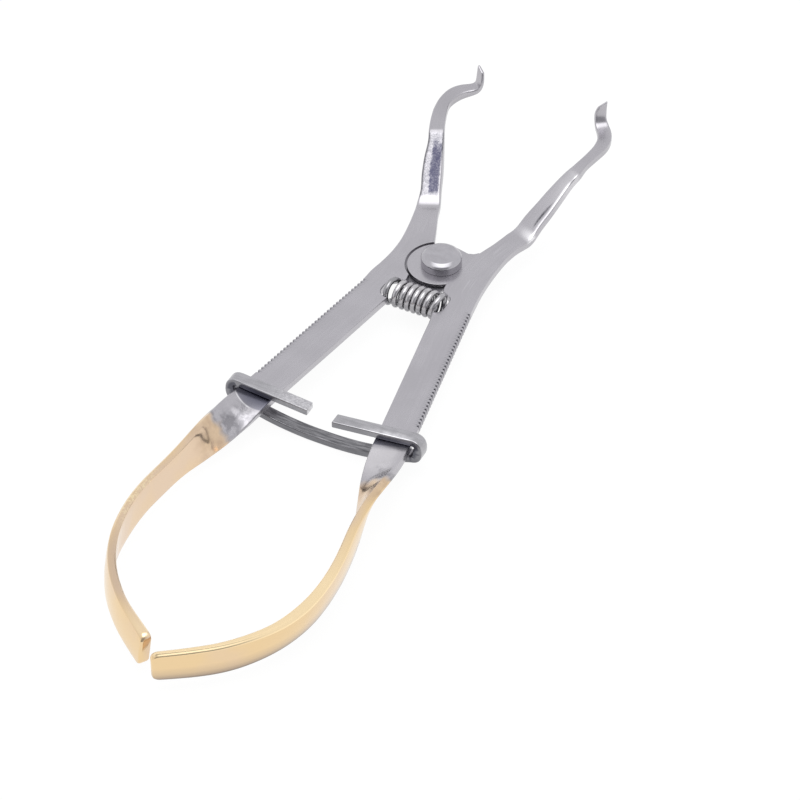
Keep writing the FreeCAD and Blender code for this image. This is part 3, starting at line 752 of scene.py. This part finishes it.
# -------------------------------------------------------------- materials
class Nodes:
    def __init__(self, name):
        self.m = bpy.data.materials.new(name)
        self.m.use_nodes = True
        self.t = self.m.node_tree
        self.t.nodes.clear()
        self.out = self.t.nodes.new("ShaderNodeOutputMaterial")
        self.b = self.t.nodes.new("ShaderNodeBsdfPrincipled")
        self.t.links.new(self.b.outputs[0], self.out.inputs[0])

    def add(self, kind, **props):
        n = self.t.nodes.new(kind)
        for k, v in props.items():
            setattr(n, k, v)
        return n

    def link(self, a, b):
        self.t.links.new(a, b)

    def val(self, sock, v):
        if hasattr(v, "is_linked") or isinstance(v, bpy.types.NodeSocket):
            self.link(v, sock)
        else:
            sock.default_value = v

    def math(self, op, a, b=None, c=None, clamp=False):
        n = self.add("ShaderNodeMath", operation=op, use_clamp=clamp)
        self.val(n.inputs[0], a)
        if b is not None:
            self.val(n.inputs[1], b)
        if c is not None:
            self.val(n.inputs[2], c)
        return n.outputs[0]

    def attr(self, name):
        n = self.add("ShaderNodeAttribute", attribute_name=name)
        return n.outputs["Fac"]

    def coords(self):
        n = self.add("ShaderNodeTexCoord")
        return n.outputs["Object"]

    def scaled(self, v, sx, sy, sz):
        n = self.add("ShaderNodeMapping")
        self.link(v, n.inputs["Vector"])
        n.inputs["Scale"].default_value = (sx, sy, sz)
        return n.outputs[0]

    def xyz(self, x, y, z):
        n = self.add("ShaderNodeCombineXYZ")
        for s, v in zip(n.inputs, (x, y, z)):
            self.val(s, v)
        return n.outputs[0]

    def noise(self, vec, scale, detail=2.0, rough=0.5, distort=0.0):
        n = self.add("ShaderNodeTexNoise")
        self.link(vec, n.inputs["Vector"])
        n.inputs["Scale"].default_value = scale
        n.inputs["Detail"].default_value = detail
        n.inputs["Roughness"].default_value = rough
        n.inputs["Distortion"].default_value = distort
        return n.outputs[0]

    def remap(self, v, a, b, c, d, kind="LINEAR"):
        n = self.add("ShaderNodeMapRange", interpolation_type=kind)
        self.val(n.inputs["Value"], v)
        for k, x in zip(("From Min", "From Max", "To Min", "To Max"), (a, b, c, d)):
            n.inputs[k].default_value = x
        return n.outputs[0]

    def mix(self, f, a, b, blend="MIX"):
        n = self.add("ShaderNodeMix", data_type="RGBA", blend_type=blend)
        n.clamp_factor = True
        self.val(n.inputs[0], f)
        for s, v in ((n.inputs[6], a), (n.inputs[7], b)):
            if isinstance(v, bpy.types.NodeSocket):
                self.link(v, s)
            else:
                s.default_value = (*v, 1.0)
        return n.outputs[2]

    def fmix(self, f, a, b):
        n = self.add("ShaderNodeMix", data_type="FLOAT")
        self.val(n.inputs[0], f)
        self.val(n.inputs[2], a)
        self.val(n.inputs[3], b)
        return n.outputs[0]

    def bump(self, h, strength, dist, normal=None):
        n = self.add("ShaderNodeBump")
        n.inputs["Strength"].default_value = strength
        n.inputs["Distance"].default_value = dist
        self.link(h, n.inputs["Height"])
        if normal is not None:
            self.link(normal, n.inputs["Normal"])
        return n.outputs[0]


STEEL = (0.486, 0.474, 0.502)
GOLD = (0.830, 0.618, 0.358)
GOLD_P = (0.765, 0.588, 0.428)
GOLD_D = (0.560, 0.410, 0.290)


def arm_material(side):
    m = Nodes("satin_steel_" + side)
    run, lat, thk = m.attr("run"), m.attr("lat"), m.attr("thk")
    co = m.coords()
    mm = m.scaled(co, 1000, 1000, 1000)
    # satin grain along the strap
    v = m.xyz(m.math("MULTIPLY", run, 0.30), m.math("MULTIPLY", lat, 9.0), m.math("MULTIPLY", thk, 9.0))
    grain = m.noise(v, 1.0, 2.0, 0.5)
    v2 = m.xyz(m.math("MULTIPLY", run, 0.05), m.math("MULTIPLY", lat, 1.4), m.math("MULTIPLY", thk, 1.4))
    streak = m.noise(v2, 1.0, 2.0, 0.5)
    fine = m.noise(mm, 5.0, 2.0, 0.6)
    cloud = m.noise(mm, 0.13, 2.0, 0.45)
    tone = m.math("ADD", m.math("MULTIPLY", grain, 0.20), m.math("ADD", m.math("MULTIPLY", fine, 0.10),
           m.math("ADD", m.math("MULTIPLY", cloud, 0.45), m.math("MULTIPLY", streak, 0.25))))
    steel = m.mix(m.remap(tone, 0.40, 0.60, 0.0, 1.0), tuple(c * 0.96 for c in STEEL), tuple(c * 1.04 for c in STEEL))
    # light rubbed scratches that follow the shoulder beside the joint
    sc = m.noise(m.xyz(m.math("MULTIPLY", run, 0.07), m.math("MULTIPLY", lat, 2.6), 3.7), 1.0, 1.0, 0.4, 0.4)
    arcs = m.remap(sc, 0.58, 0.66, 0.0, 1.0)
    arcs = m.math("MULTIPLY", arcs, m.math("MULTIPLY", m.remap(run, -43.0, -48.0, 0.0, 1.0), m.remap(run, -57.0, -64.0, 1.0, 0.0)))
    arcs = m.math("MULTIPLY", arcs, m.math("MULTIPLY", m.remap(lat, -2.0, 0.0, 0.0, 1.0), m.remap(lat, 4.0, 5.4, 1.0, 0.0)))
    steel = m.mix(m.math("MULTIPLY", arcs, 0.45 if side == "right" else 0.12), steel, (0.66, 0.65, 0.68))
    # painted shade: dark roots of the serration, dark lower half of the joint
    steel = m.mix(m.math("MULTIPLY", m.attr("root"), 1.15, clamp=True), steel, (0.045, 0.045, 0.058))
    steel = m.mix(m.math("MULTIPLY", m.attr("joint_shade"), 0.78), steel, (0.085, 0.085, 0.095))
    # painted reflections on the sloping shank; on the left arm a dark speckled patch
    slope = m.attr("slope")
    rough_add = None
    if side == "left":
        up = m.remap(thk, 0.25, 0.50, 0.0, 1.0)
        a = m.remap(slope, 0.09, 0.14, 0.0, 1.0)
        b = m.remap(slope, 0.93, 1.00, 1.0, 0.0)
        spk = m.noise(mm, 3.6, 3.0, 0.75)
        spk2 = m.noise(mm, 1.1, 2.0, 0.6)
        face = m.math("MULTIPLY", m.math("MULTIPLY", a, b), up)
        speck = m.remap(m.math("ADD", m.math("MULTIPLY", spk, 0.7), m.math("MULTIPLY", spk2, 0.3)), 0.40, 0.60, 0.0, 1.0)
        edge = m.remap(lat, -1.75, -1.45, 0.0, 1.0)
        steel = m.mix(m.math("MULTIPLY", m.math("MULTIPLY", face, edge), m.remap(speck, 0.0, 1.0, 0.92, 0.42)), steel, (0.135, 0.135, 0.150))
        # painted reflection: the darker strip in its middle and towards its inner edge
        j1 = m.math("MULTIPLY", m.math("SUBTRACT", spk2, 0.5), 1.0)
        c = m.remap(m.math("ADD", lat, j1), -1.62, -1.30, 0.0, 1.0)
        d = m.remap(m.math("ADD", lat, j1), 0.40, 0.75, 1.0, 0.0)
        e = m.remap(m.math("ADD", slope, m.math("MULTIPLY", m.math("SUBTRACT", spk2, 0.5), 0.15)), 0.78, 0.88, 1.0, 0.0)
        e = m.math("MULTIPLY", e, m.remap(slope, 0.14, 0.18, 0.0, 1.0))
        dark = m.math("MULTIPLY", m.math("MULTIPLY", m.math("MULTIPLY", c, d), e), face)
        dark = m.math("MULTIPLY", dark, m.remap(speck, 0.0, 1.0, 1.0, 0.72))
        steel = m.mix(dark, steel, (0.045, 0.045, 0.075))
    else:
        # painted reflection: a dark lens-shaped sliver near the outer edge
        a = m.remap(slope, 0.13, 0.20, 0.0, 1.0)
        b = m.remap(slope, 0.46, 0.60, 1.0, 0.0)
        s2 = m.math("SUBTRACT", slope, 0.34)
        low = m.math("ADD", 0.62, m.math("MULTIPLY", m.math("MULTIPLY", s2, s2), 9.0))
        c = m.remap(m.math("SUBTRACT", lat, low), 0.0, 0.30, 0.0, 1.0)
        d = m.remap(lat, 1.20, 1.40, 1.0, 0.0)
        dark_reflection = m.math("MULTIPLY", m.math("MULTIPLY", a, b), m.math("MULTIPLY", m.math("MULTIPLY", c, d), m.remap(thk, 0.30, 0.55, 0.0, 1.0)))
        sp = m.noise(mm, 2.4, 2.0, 0.6)
        dark_reflection = m.math("MULTIPLY", dark_reflection, m.remap(sp, 0.40, 0.60, 0.55, 1.0))
        # painted highlights: a lighter band towards the upper fold and a bright band at the lower fold
        painted_sheen = m.math("MULTIPLY", m.remap(slope, 0.45, 0.80, 0.0, 1.0), m.remap(slope, 0.99, 1.06, 1.0, 0.0))
        steel = m.mix(m.math("MULTIPLY", painted_sheen, m.remap(lat, -1.2, 0.8, 0.15, 0.60)), steel, (0.70, 0.69, 0.71))
        fold_highlight = m.math("MULTIPLY", m.remap(slope, -0.10, -0.01, 0.0, 1.0), m.remap(slope, 0.05, 0.12, 1.0, 0.0))
        steel = m.mix(m.math("MULTIPLY", fold_highlight, m.remap(lat, -1.0, 1.6, 0.10, 0.85)), steel, (0.92, 0.91, 0.93))
        steel = m.mix(m.math("MULTIPLY", dark_reflection, 0.85), steel, (0.06, 0.06, 0.075))
    # the level jaws are a little duller than the plates
    sj = m.add("ShaderNodeSeparateXYZ")
    m.link(mm, sj.inputs[0])
    jw = m.remap(sj.outputs[1], 70.0, 73.5, 0.0, 0.50 if side == "left" else 0.28)
    jw = m.math("MULTIPLY", jw, m.remap(sj.outputs[2], 15.0, 13.5, 0.25, 1.0))
    steel = m.mix(jw, steel, (0.30, 0.29, 0.31))
    # painted shadow of the ring: a dark patch with a sharp limit on the strap where the ring rests
    if side == "left":
        q = m.math("ADD", lat, 1.1)
        lim = m.math("SUBTRACT", 5.15, m.math("MULTIPLY", m.math("MULTIPLY", q, q), 0.09))
    else:
        lim = m.math("SUBTRACT", 3.25, m.math("MULTIPLY", lat, 0.10))
    away = m.math("SUBTRACT", lim, run)
    top_face = m.remap(thk, 0.45, 0.70, 0.0, 1.0)
    ring_shadow = m.math("MULTIPLY", m.remap(away, 0.0, 0.30, 0.0, 1.0), m.remap(run, -0.6, 0.4, 0.0, 1.0))
    ring_shadow = m.math("MULTIPLY", ring_shadow, m.remap(away, 0.0, 3.5, 0.58, 0.95))
    steel = m.mix(m.math("MULTIPLY", ring_shadow, top_face), steel, (0.100, 0.103, 0.150))
    if side == "left":
        # painted highlight: a thin light line along the patch's limit on the left arm
        limit_highlight = m.math("MULTIPLY", m.remap(away, -0.30, -0.12, 0.0, 1.0), m.remap(away, 0.0, 0.14, 1.0, 0.0))
        limit_highlight = m.math("MULTIPLY", limit_highlight, m.math("MULTIPLY", m.remap(lat, -1.6, -1.0, 0.0, 1.0), top_face))
        steel = m.mix(m.math("MULTIPLY", limit_highlight, 0.8), steel, (0.86, 0.86, 0.88))
    # lighter strap between the ring and the plating on the right arm, a darker mottle there on the left
    lt = m.math("MULTIPLY", m.math("MULTIPLY", m.remap(away, -1.2, -0.2, 1.0, 0.0), m.remap(run, 9.0, 12.5, 1.0, 0.0)), top_face)
    lt = m.math("MULTIPLY", lt, m.remap(lat, 1.5, 3.0, 1.0, 0.35))
    if side == "right":
        steel = m.mix(m.math("MULTIPLY", lt, 0.55), steel, (0.80, 0.78, 0.80))
    else:
        mot = m.noise(m.xyz(m.math("MULTIPLY", run, 0.55), m.math("MULTIPLY", lat, 0.55), thk), 1.0, 3.0, 0.6, 0.8)
        mk = m.math("MULTIPLY", m.math("MULTIPLY", m.remap(run, 4.2, 6.0, 0.0, 1.0), m.remap(run, 12.5, 14.5, 1.0, 0.0)), m.math("MULTIPLY", top_face, m.remap(lat, 1.8, 0.2, 0.0, 1.0)))
        steel = m.mix(m.math("MULTIPLY", mk, m.remap(mot, 0.42, 0.60, 0.66, 0.06)), steel, (0.215, 0.21, 0.23))
    # plating: an uneven border where the strap turns
    wob = m.noise(m.xyz(m.math("MULTIPLY", run, 0.16), m.math("MULTIPLY", lat, 0.30), m.math("MULTIPLY", thk, 0.4)), 1.0, 2.0, 0.5)
    g0 = 13.4 if side == "left" else 13.3
    g = m.math("ADD", m.math("SUBTRACT", run, g0), m.math("MULTIPLY", m.math("SUBTRACT", wob, 0.5), 5.0))
    g = m.math("ADD", g, m.math("MULTIPLY", lat, 0.06 if side == "left" else -0.12))
    gold_f = m.remap(g, -1.0, 1.0, 0.0, 1.0, "SMOOTHSTEP")
    gv = m.noise(mm, 0.10, 2.0, 0.5)
    gw = m.math("ADD", m.remap(gv, 0.40, 0.60, -0.25, 0.25), m.remap(thk, -0.7, 0.7, 0.15, 0.95))
    gold = m.mix(gw, GOLD, GOLD_P)
    # dark heat stain on the steel and brownish tint just inside the plating's border
    st1 = m.noise(m.xyz(m.math("MULTIPLY", run, 0.45), m.math("MULTIPLY", lat, 0.35), m.math("MULTIPLY", thk, 0.5)), 1.0, 3.0, 0.55)
    stain = m.math("MULTIPLY", m.remap(g, -5.0, -2.2, 0.0, 1.0), m.remap(g, -0.5, 1.0, 1.0, 0.0))
    stain = m.math("MULTIPLY", stain, m.remap(lat, -1.5, 1.0, 0.15, 1.0))
    stain = m.math("MULTIPLY", stain, m.remap(st1, 0.42, 0.58, 0.0, 1.0))
    steel = m.mix(m.math("MULTIPLY", stain, 0.62), steel, (0.155, 0.15, 0.165))
    tint = m.math("MULTIPLY", m.remap(g, -1.0, 1.0, 0.0, 1.0), m.remap(g, 4.0, 9.0, 1.0, 0.0))
    tint = m.math("MULTIPLY", tint, m.remap(st1, 0.40, 0.62, 0.25, 1.0))
    gold = m.mix(m.math("MULTIPLY", tint, 0.75), gold, GOLD_D)
    if side == "right":              # painted shade: darker lower half and lower edge of the outer face
        lower_face_shade = m.math("MULTIPLY", m.remap(lat, 0.2, -3.0, 0.0, 1.0), m.remap(thk, -0.25, -0.55, 0.0, 1.0))
        gold = m.mix(m.math("MULTIPLY", lower_face_shade, 0.75), gold, (0.46, 0.360, 0.280))
        d2 = m.math("MULTIPLY", m.remap(lat, -1.6, -3.1, 0.0, 1.0), m.remap(thk, 0.10, -0.40, 0.0, 1.0))
        gold = m.mix(m.math("MULTIPLY", d2, 0.72), gold, (0.33, 0.265, 0.215))
        d3 = m.math("MULTIPLY", m.remap(lat, -2.55, -3.05, 0.0, 1.0), m.remap(run, 16.0, 26.0, 0.0, 1.0))
        gold = m.mix(m.math("MULTIPLY", d3, 0.85), gold, (0.25, 0.205, 0.165))
    edge = m.math("MULTIPLY", m.remap(lat, 3.0, 3.3, 0.0, 1.0), m.remap(run, 20.0, 30.0, 0.0, 1.0))
    if side == "left":               # painted glints on the upper edge, painted shade further back
        edge_glint = m.math("MULTIPLY", m.remap(m.noise(mm, 1.9, 2.0, 0.6), 0.46, 0.58, 0.0, 1.0),
                    m.math("MULTIPLY", m.remap(run, 30.0, 36.0, 0.0, 1.0), m.remap(run, 42.0, 50.0, 1.0, 0.0)))
        gold = m.mix(m.math("MULTIPLY", m.math("MULTIPLY", edge_glint, edge), 0.55), gold, (0.98, 0.84, 0.54))
        edge_shade = m.math("MULTIPLY", m.remap(run, 46.0, 54.0, 0.0, 1.0), m.remap(run, 64.0, 72.0, 1.0, 0.0))
        gold = m.mix(m.math("MULTIPLY", m.math("MULTIPLY", edge_shade, edge), 0.5), gold, (0.60, 0.46, 0.34))
        edge_highlight = m.remap(run, 68.0, 76.0, 0.0, 0.6)
    else:
        edge_highlight = m.remap(run, 28.0, 44.0, 0.25, 0.95)
    # painted highlight along the upper edge
    gold = m.mix(m.math("MULTIPLY", edge_highlight, edge), gold, (1.0, 0.80, 0.50))
    col = m.mix(gold_f, steel, gold)
    m.link(col, m.b.inputs["Base Color"])
    m.b.inputs["Metallic"].default_value = 1.0
    r_st = m.remap(m.math("ADD", m.math("MULTIPLY", grain, 0.5), m.math("MULTIPLY", cloud, 0.5)), 0.35, 0.65, 0.20, 0.29)
    r_gd = m.remap(m.noise(mm, 0.5, 2.0, 0.5), 0.3, 0.7, 0.12, 0.20)
    m.link(m.fmix(gold_f, r_st, r_gd), m.b.inputs["Roughness"])
    h = m.math("MULTIPLY", m.math("ADD", m.math("MULTIPLY", grain, 1.0), m.math("MULTIPLY", fine, 0.35)),
               m.fmix(gold_f, 1.0, 0.25))
    m.link(m.bump(h, 0.06, 0.00002), m.b.inputs["Normal"])
    return m.m


def plain_steel(name, base, r0, r1, streak, bump=0.08, span=0.08, low=None, extra=None):
    m = Nodes(name)
    co = m.coords()
    mm = m.scaled(co, 1000, 1000, 1000)
    g = m.noise(m.scaled(co, *[1000 * s for s in streak]), 1.0, 2.0, 0.5)
    c = m.noise(mm, 0.5, 2.0, 0.5)
    tone = m.math("ADD", m.math("MULTIPLY", g, 0.5), m.math("MULTIPLY", c, 0.5))
    col = m.mix(m.remap(tone, 0.38, 0.62, 0.0, 1.0), tuple(x * (1 - span) for x in base), tuple(x * (1 + span) for x in base))
    if low is not None:              # darker and streaked towards the bottom; on the spring wire this is painted shade
        z0, z1, dark = low
        sep = m.add("ShaderNodeSeparateXYZ")
        m.link(mm, sep.inputs[0])
        st = m.noise(m.scaled(co, 260, 2600, 2600), 1.0, 3.0, 0.6)
        k = m.math("MULTIPLY", m.remap(sep.outputs[2], z0, z1, 1.0, 0.0), m.remap(st, 0.38, 0.62, 1.0, 0.45))
        col = m.mix(k, col, dark)
    if extra == "ring":
        # painted highlights along the top of the bar on both sides of its middle
        top = m.remap(sep.outputs[2], 6.6, 7.4, 0.0, 1.0)
        yr = m.math("ADD", m.math("ADD", sep.outputs[1], 14.56), m.math("MULTIPLY", sep.outputs[0], -0.128))
        k = m.math("MULTIPLY", m.remap(sep.outputs[0], 7.0, 14.0, 0.0, 1.0), m.remap(yr, 0.25, -0.55, 0.0, 1.0))
        k = m.math("MULTIPLY", m.math("MULTIPLY", k, top), m.remap(c, 0.35, 0.60, 0.45, 1.0))
        k = m.math("MULTIPLY", k, m.remap(sep.outputs[0], 16.2, 18.4, 1.0, 0.0))
        col = m.mix(m.math("MULTIPLY", k, 0.75), col, (0.90, 0.89, 0.92))
        k = m.math("MULTIPLY", m.remap(sep.outputs[0], -14.0, -8.0, 0.0, 1.0), m.remap(sep.outputs[0], 0.0, 1.0, 1.0, 0.0))
        k = m.math("MULTIPLY", m.math("MULTIPLY", k, top), m.remap(m.noise(mm, 2.2, 2.0, 0.6), 0.42, 0.60, 0.25, 1.0))
        col = m.mix(m.math("MULTIPLY", k, 0.55), col, (0.86, 0.85, 0.88))
        # painted shade: darker front and back faces and dark inner sides of the loops
        col = m.mix(m.math("MULTIPLY", m.attr("flank"), 0.72), col, (0.170, 0.170, 0.185))
        col = m.mix(m.math("MULTIPLY", m.attr("inside"), 0.85), col, (0.075, 0.076, 0.095))
    if extra == "wire":              # painted shade: darker on the end coils where they sit in the seats
        k = m.math("MAXIMUM", m.remap(sep.outputs[0], -4.9, -5.5, 0.0, 0.62), m.remap(sep.outputs[0], 3.2, 4.4, 0.0, 0.35))
        col = m.mix(k, col, (0.23, 0.23, 0.245))
    m.link(col, m.b.inputs["Base Color"])
    m.b.inputs["Metallic"].default_value = 1.0
    m.link(m.remap(tone, 0.35, 0.65, r0, r1), m.b.inputs["Roughness"])
    m.link(m.bump(g, bump, 0.00002), m.b.inputs["Normal"])
    return m.m


# ------------------------------------------------------------------ build
left, right = arm("left"), arm("right")
for ob, side in ((left, "left"), (right, "right")):
    ob.data.materials.clear()
    ob.data.materials.append(arm_material(side))
    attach(ob, side + "_arm")
    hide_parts(side + "_arm")

rg = ring()
rg.data.materials.append(plain_steel("ring_steel_bar", (0.430, 0.425, 0.445), 0.18, 0.27, (0.25, 3.0, 3.0), 0.12, 0.10, (3.9, 4.9, (0.14, 0.14, 0.15)), "ring"))
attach(rg, "ring")
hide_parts("sliding_ring")

rv = rivet()
rv.data.materials.append(plain_steel("rivet_steel", (0.470, 0.460, 0.488), 0.16, 0.22, (0.8, 0.8, 3.0), 0.05, 0.05))
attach(rv, "pivot")
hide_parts("pivot_rivet")

wire = plain_steel("spring_wire", (0.56, 0.55, 0.565), 0.15, 0.23, (0.6, 1.5, 1.5), 0.06, 0.10, (5.0, 7.7, (0.12, 0.12, 0.135)), "wire")
for nm, is_left, body, xe in (("coil_spring_left", True, "left_arm", -5.4), ("coil_spring_right", False, "right_arm", 5.4)):
    sp = spring_half(nm, is_left)
    sp.data.materials.append(wire)
    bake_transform(sp)
    if is_left:
        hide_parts("coil_spring")

# ----------------------------------------------------------- floor, light
bpy.ops.mesh.primitive_plane_add(size=4.0, location=(0, 0, 0))
floor = bpy.context.object
floor.name = "floor"
fm = bpy.data.materials.new("floor_white")
fm.use_nodes = True
ft = fm.node_tree
ft.nodes.clear()
fo = ft.nodes.new("ShaderNodeOutputMaterial")
fa = ft.nodes.new("ShaderNodeAddShader")
fe = ft.nodes.new("ShaderNodeEmission")
fe.inputs["Color"].default_value = (1.0, 1.0, 1.0, 1.0)
fe.inputs["Strength"].default_value = 0.93
fd = ft.nodes.new("ShaderNodeBsdfDiffuse")
fd.inputs["Color"].default_value = (0.08, 0.08, 0.08, 1.0)
ft.links.new(fe.outputs[0], fa.inputs[0])
ft.links.new(fd.outputs[0], fa.inputs[1])
ft.links.new(fa.outputs[0], fo.inputs[0])
floor.data.materials.append(fm)

world = bpy.data.worlds.new("studio")
bpy.context.scene.world = world
world.use_nodes = True
wt = world.node_tree
wt.nodes.clear()
wo = wt.nodes.new("ShaderNodeOutputWorld")
wb = wt.nodes.new("ShaderNodeBackground")
wtc = wt.nodes.new("ShaderNodeTexCoord")


def world_lobe(direction, a, b):
    """1 towards the direction, fading to 0: the dot product runs from a to b."""
    d = wt.nodes.new("ShaderNodeVectorMath")
    d.operation = "DOT_PRODUCT"
    wt.links.new(wtc.outputs["Generated"], d.inputs[0])
    d.inputs[1].default_value = tuple(unit(direction))
    r = wt.nodes.new("ShaderNodeMapRange")
    r.interpolation_type = "SMOOTHSTEP"
    wt.links.new(d.outputs["Value"], r.inputs["Value"])
    r.inputs["From Min"].default_value = a
    r.inputs["From Max"].default_value = b
    r.inputs["To Min"].default_value = 0.0
    r.inputs["To Max"].default_value = 1.0
    return r.outputs[0]


def world_mix(f, a, b):
    n = wt.nodes.new("ShaderNodeMix")
    n.data_type = "RGBA"
    wt.links.new(f, n.inputs[0])
    for sock, v in ((n.inputs[6], a), (n.inputs[7], b)):
        if isinstance(v, bpy.types.NodeSocket):
            wt.links.new(v, sock)
        else:
            sock.default_value = (*v, 1.0)
    return n.outputs[2]


# pale room, darker low in front, bright overhead
sky = world_mix(world_lobe((0.396, -0.815, 0.42), 0.66, 0.92), (0.90, 0.90, 0.915), (0.38, 0.38, 0.40))
sky = world_mix(world_lobe((0.06, -0.13, 0.99), 0.76, 0.975), sky, (2.15, 2.15, 2.15))
wt.links.new(sky, wb.inputs["Color"])
wb.inputs["Strength"].default_value = 1.0
wt.links.new(wb.outputs[0], wo.inputs[0])


def area(name, loc, target, sx, sy, radiance, colour=(1, 1, 1)):
    L = bpy.data.lights.new(name, "AREA")
    L.shape, L.size, L.size_y = "RECTANGLE", sx, sy
    L.energy = radiance * math.pi * sx * sy
    L.color = colour
    o = bpy.data.objects.new(name, L)
    bpy.context.scene.collection.objects.link(o)
    o.location = loc
    d = Vector(target) - Vector(loc)
    o.rotation_euler = d.to_track_quat("-Z", "Y").to_euler()
    return o


area("top_softbox", (0.04, -0.09, 0.70), (0, 0, 0), 0.26, 0.26, 1.2)

# ------------------------------------------------------------------ camera
rv_ = np.array([2.25488492, 0.537916008, -0.237355431])
th = np.linalg.norm(rv_)
kx, ky, kz = rv_ / th
K = np.array([[0, -kz, ky], [kz, 0, -kx], [-ky, kx, 0]])
R = np.eye(3) + math.sin(th) * K + (1 - math.cos(th)) * (K @ K)
T = np.array([8.35463501, -26.9860601, 728.072737])
Cm = to_m(-R.T @ T)
cam = bpy.data.objects.new("camera", bpy.data.cameras.new("camera"))
bpy.context.scene.collection.objects.link(cam)
M = Matrix.Identity(4)
for k in range(3):
    M[k][0], M[k][1], M[k][2], M[k][3] = R[0][k], -R[1][k], -R[2][k], Cm[k]
cam.matrix_world = M
cam.data.sensor_width = 36.0
cam.data.lens = 3600.36 / 800.0 * 36.0
cam.data.clip_start, cam.data.clip_end = 0.05, 10.0
bpy.context.scene.camera = cam

bpy.context.scene.view_settings.view_transform = "Standard"
bpy.context.scene.view_settings.look = "None"
